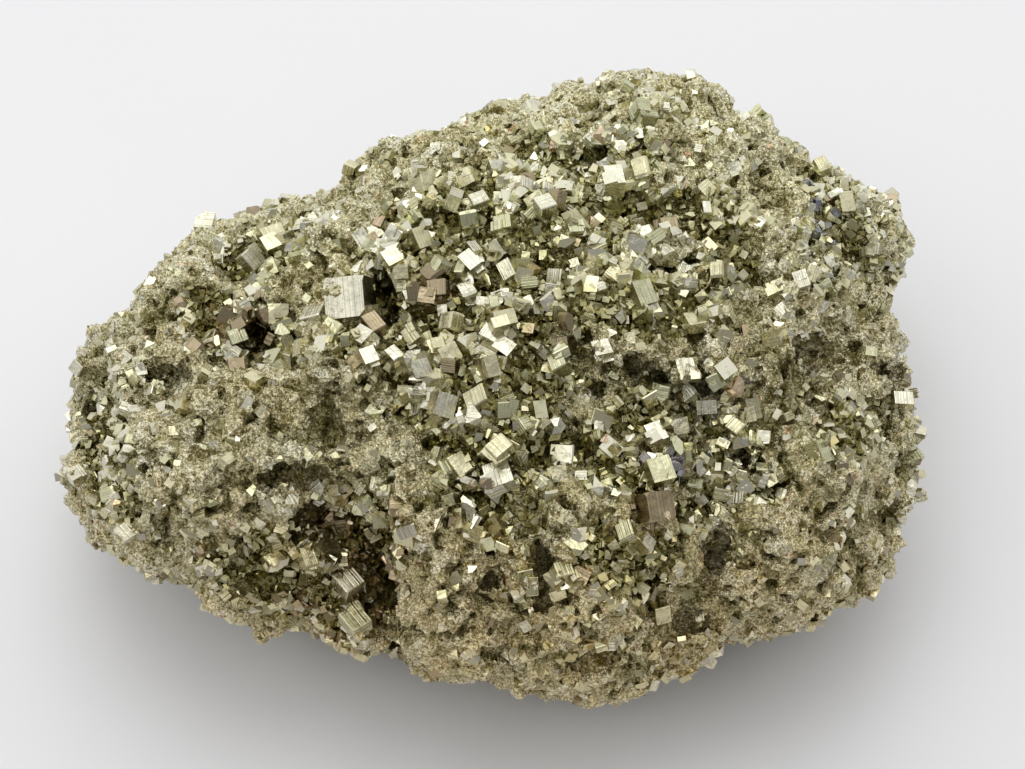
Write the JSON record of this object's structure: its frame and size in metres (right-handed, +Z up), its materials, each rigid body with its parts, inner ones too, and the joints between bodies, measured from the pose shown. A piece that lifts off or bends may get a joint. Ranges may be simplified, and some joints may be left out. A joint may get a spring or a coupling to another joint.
{
  "type": "pyrite specimen",
  "caption": "Lump of massive pyrite crusted with intergrown cubic crystals, with pits and a deep vug, resting on its flat base.",
  "frame": {"origin": "middle of the flat that the specimen rests on", "axes": "+X along the lump's longest side, +Y away from the side it is shown from, +Z up out of the rest face"},
  "size_m": [0.132, 0.1131, 0.0625],
  "materials": {
    "pyrite": "pale brassy metallic lustre, bright on the crystal faces and dull on the fine granular ground, with faint copper and blue-violet tarnish"
  },
  "bodies": {
    "root": {"pyrite_cluster": "pyrite"}
  },
  "joints": []
}
